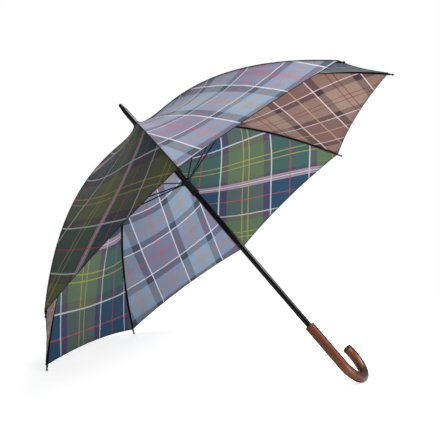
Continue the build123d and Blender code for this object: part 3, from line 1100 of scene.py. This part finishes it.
def build_tie_band():
    """Cloth strap on rib 6, sewn along its edges, with a rounded free end."""
    low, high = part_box("tie_band")
    material = bpy.data.materials["cloth_brown"]
    half = (high.y - low.y) / 2
    start = low.x + STRAP_SHORTER
    length = high.x - low.x - 2 * STRAP_SHORTER
    outward = direction(rib_azimuth(BAND_RIB))
    vertices, uv = [], []
    for i in range(STRAP_LENGTHS + 1):
        part = i / STRAP_LENGTHS
        radius = start + length * part
        stretch = sqrt(1 + rib_grade(radius) ** 2)
        height = rib_height(radius) + (BAND_LIFT + BAND_THICKNESS / 2) * stretch
        rounding = min(1.0, sqrt(max(0.0, 1 - max(0.0, 1 - part * 18) ** 2)) + 0.02)
        for j in range(STRAP_WIDTHS + 1):
            across = (2 * j / STRAP_WIDTHS - 1) * half * rounding
            wave = 0.25 * MM * noise.noise(Vector((radius * 30, across * 60, 3)))
            vertices.append(outward * radius + Vector((0, across, height + wave)))
            uv.append((across, radius))
    faces = grid_faces(STRAP_LENGTHS + 1, STRAP_WIDTHS + 1)
    piece = new_object("tie_strap", vertices, faces, (material,))
    fill_uv(piece.data, "cloth", uv)
    edge_uv = [(1.0, max(0.0, half - abs(pair[0])) + 2 * MM) for pair in uv]
    fill_uv(piece.data, "edge", edge_uv)
    mark_borders(piece.data)
    solid = piece.modifiers.new("thickness", "SOLIDIFY")
    solid.thickness = STRAP_THICKNESS
    solid.offset = 0
    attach(piece, f"rib_{BAND_RIB}")
    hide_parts("tie_band")


# ---------------------------------------------------------------- carried-over CAD pieces


def dress_frame():
    """Gives each CAD node its material."""
    black = worn_paint("black_steel", (5, 5, 6), (60, 60, 62), 0.42, 0.7)
    finishes = {
        "shaft": worn_paint("shaft_paint", (4, 4, 5), (60, 60, 62), 0.2, 0.75, shine=0.36),
        "handle": lacquered_wood(),
        "ferrule": worn_paint("ferrule_steel", (6, 6, 7), (110, 108, 104), 0.24, 0.66, shine=0.5),
        "crown_cap": worn_paint("cap_paint", (14, 14, 16), (110, 108, 104), 0.34),
        "notch": bare_steel("notch_steel", (70, 70, 74), 0.4),
        "notch_wire": bare_steel("wire", (170, 170, 172), 0.34),
        "runner": moulded_plastic(),
        "spring": bare_steel("spring_steel", (60, 61, 64), 0.38),
        "tie_snap": bare_steel("snap_steel", (150, 150, 150), 0.32),
    }
    for name, node in frame["nodes"].items():
        kind = name.rstrip("0123456789").rstrip("_")
        if kind in ("top_spring", "bottom_spring"):
            kind = "spring"
        if kind in ("runner_wire", "stopper_pin"):
            kind = "notch_wire"
        material = finishes.get(kind, black)
        node.data.materials.clear()
        node.data.materials.append(material)


# ---------------------------------------------------------------- studio


def white_world():
    """White backdrop for the camera, and a softer light for everything else."""
    world = bpy.data.worlds.new("studio")
    bpy.context.scene.world = world
    world.use_nodes = True
    tree = world.node_tree
    background = tree.nodes["Background"]
    background.inputs["Color"].default_value = SKY_COLOUR
    background.inputs["Strength"].default_value = SKY_STRENGTH
    seen = tree.nodes.new("ShaderNodeBackground")
    seen.inputs["Color"].default_value = (1, 1, 1, 1)
    seen.inputs["Strength"].default_value = 1.0
    path = tree.nodes.new("ShaderNodeLightPath")
    choice = tree.nodes.new("ShaderNodeMixShader")
    tree.links.new(path.outputs["Is Camera Ray"], choice.inputs[0])
    tree.links.new(background.outputs[0], choice.inputs[1])
    tree.links.new(seen.outputs[0], choice.inputs[2])
    tree.links.new(choice.outputs[0], tree.nodes["World Output"].inputs["Surface"])


def resting_plane():
    """Floor under the leaning umbrella: through the ends of two rib tips, touching the crook."""
    first = farthest("rib_tip_2")
    second = farthest("rib_tip_3")
    crook = [vertex.co.copy() for vertex in frame["nodes"]["handle"].data.vertices]
    span = second - first
    best = None
    for point in crook:
        normal = span.cross(point - first).normalized()
        if normal.dot(CAMERA_UP) < 0:
            normal = -normal
        lowest = min((other - first).dot(normal) for other in crook)
        if best is None or lowest > best[0]:
            best = (lowest, normal)
    return first, best[1]


def farthest(node):
    """The vertex of a CAD node that is farthest from the stick."""
    vertices = frame["nodes"][node].data.vertices
    return max((vertex.co.copy() for vertex in vertices), key=lambda co: co.xy.length)


def build_floor():
    """Large white floor in the umbrella's resting plane, clear from below. Gives its normal."""
    origin, normal = resting_plane()
    centre = (cad_low + cad_high) / 2
    centre = centre - normal * (centre - origin).dot(normal)
    side = normal.orthogonal().normalized()
    other = normal.cross(side)
    corners = []
    for a, b in ((-1, -1), (1, -1), (1, 1), (-1, 1)):
        corners.append(centre + side * a * FLOOR_REACH + other * b * FLOOR_REACH)
    floor = new_object("floor", corners, [(0, 1, 2, 3)], (floor_material(),))
    if floor.data.polygons[0].normal.dot(normal) < 0:
        floor.data.flip_normals()
    return normal


def floor_material():
    """White floor that only shows the soft shadow near the object, and is clear from below."""
    nodes = Nodes("floor")
    place = nodes.add("ShaderNodeNewGeometry", output=0)
    centre = (cad_low + cad_high) / 2
    away = nodes.vector_math("DISTANCE", place, centre, output="Value")
    glow = nodes.add("ShaderNodeEmission", inputs={"Color": (1, 1, 1, 1), "Strength": 1.0})
    white = (FLOOR_GAIN, FLOOR_GAIN, FLOOR_GAIN, 1)
    bright = nodes.add("ShaderNodeBsdfDiffuse", inputs={"Color": white})
    grey = (FLOOR_TONE, FLOOR_TONE, FLOOR_TONE, 1)
    plain = nodes.add("ShaderNodeBsdfDiffuse", inputs={"Color": grey})
    far = nodes.span(away, *SHADOW_FADE, 1 - SHADOW_SHARE, 1.0)
    shown = nodes.add("ShaderNodeMixShader", inputs={0: far, 1: bright, 2: glow})
    camera = nodes.add("ShaderNodeLightPath", output=0)
    top = nodes.add("ShaderNodeMixShader", inputs={0: camera, 1: plain, 2: shown})
    clear = nodes.add("ShaderNodeBsdfTransparent")
    back = nodes.add("ShaderNodeNewGeometry", output=6)
    both = nodes.add("ShaderNodeMixShader", inputs={0: back, 1: top, 2: clear})
    nodes.set_surface(both)
    return nodes.material


def area_light(name, place, target, size, power, colour=(1, 1, 1)):
    """Square soft light that faces a target."""
    lamp = bpy.data.lights.new(name, "AREA")
    lamp.size = size
    lamp.energy = power
    lamp.color = colour
    made = bpy.data.objects.new(name, lamp)
    made.location = place
    made.rotation_mode = "QUATERNION"
    made.rotation_quaternion = (target - place).to_track_quat("-Z", "Y")
    bpy.context.scene.collection.objects.link(made)


def build_lights(up):
    """Large overhead light towards the camera's right, and a fill from beside the camera."""
    target = (cad_low + cad_high) / 2
    right = CAMERA_FORWARD.cross(CAMERA_UP).normalized()
    toward = -CAMERA_FORWARD
    overhead = target + up * 2.3 + right * 1.1
    area_light("overhead", overhead, target, OVERHEAD_SIZE, OVERHEAD_POWER)
    fill = target + right * 2.4 + toward * 1.9 + up * 0.3
    area_light("fill", fill, target, FILL_SIZE, FILL_POWER, FILL_COLOUR)


def build_camera():
    """Camera below the canopy's level, rolled so that the umbrella leans to the left."""
    data = bpy.data.cameras.new("camera")
    data.sensor_width = 36
    data.lens = CAMERA_LENS
    camera = bpy.data.objects.new("camera", data)
    back = -CAMERA_FORWARD.normalized()
    right = CAMERA_FORWARD.cross(CAMERA_UP).normalized()
    up = back.cross(right)
    turn = Matrix((right, up, back)).transposed()
    camera.matrix_world = Matrix.Translation(CAMERA_PLACE) @ turn.to_4x4()
    bpy.context.scene.collection.objects.link(camera)
    bpy.context.scene.camera = camera


dress_frame()
build_canopy()
build_tie_band()
white_world()
build_lights(build_floor())
build_camera()
bpy.context.scene.view_settings.view_transform = "Standard"
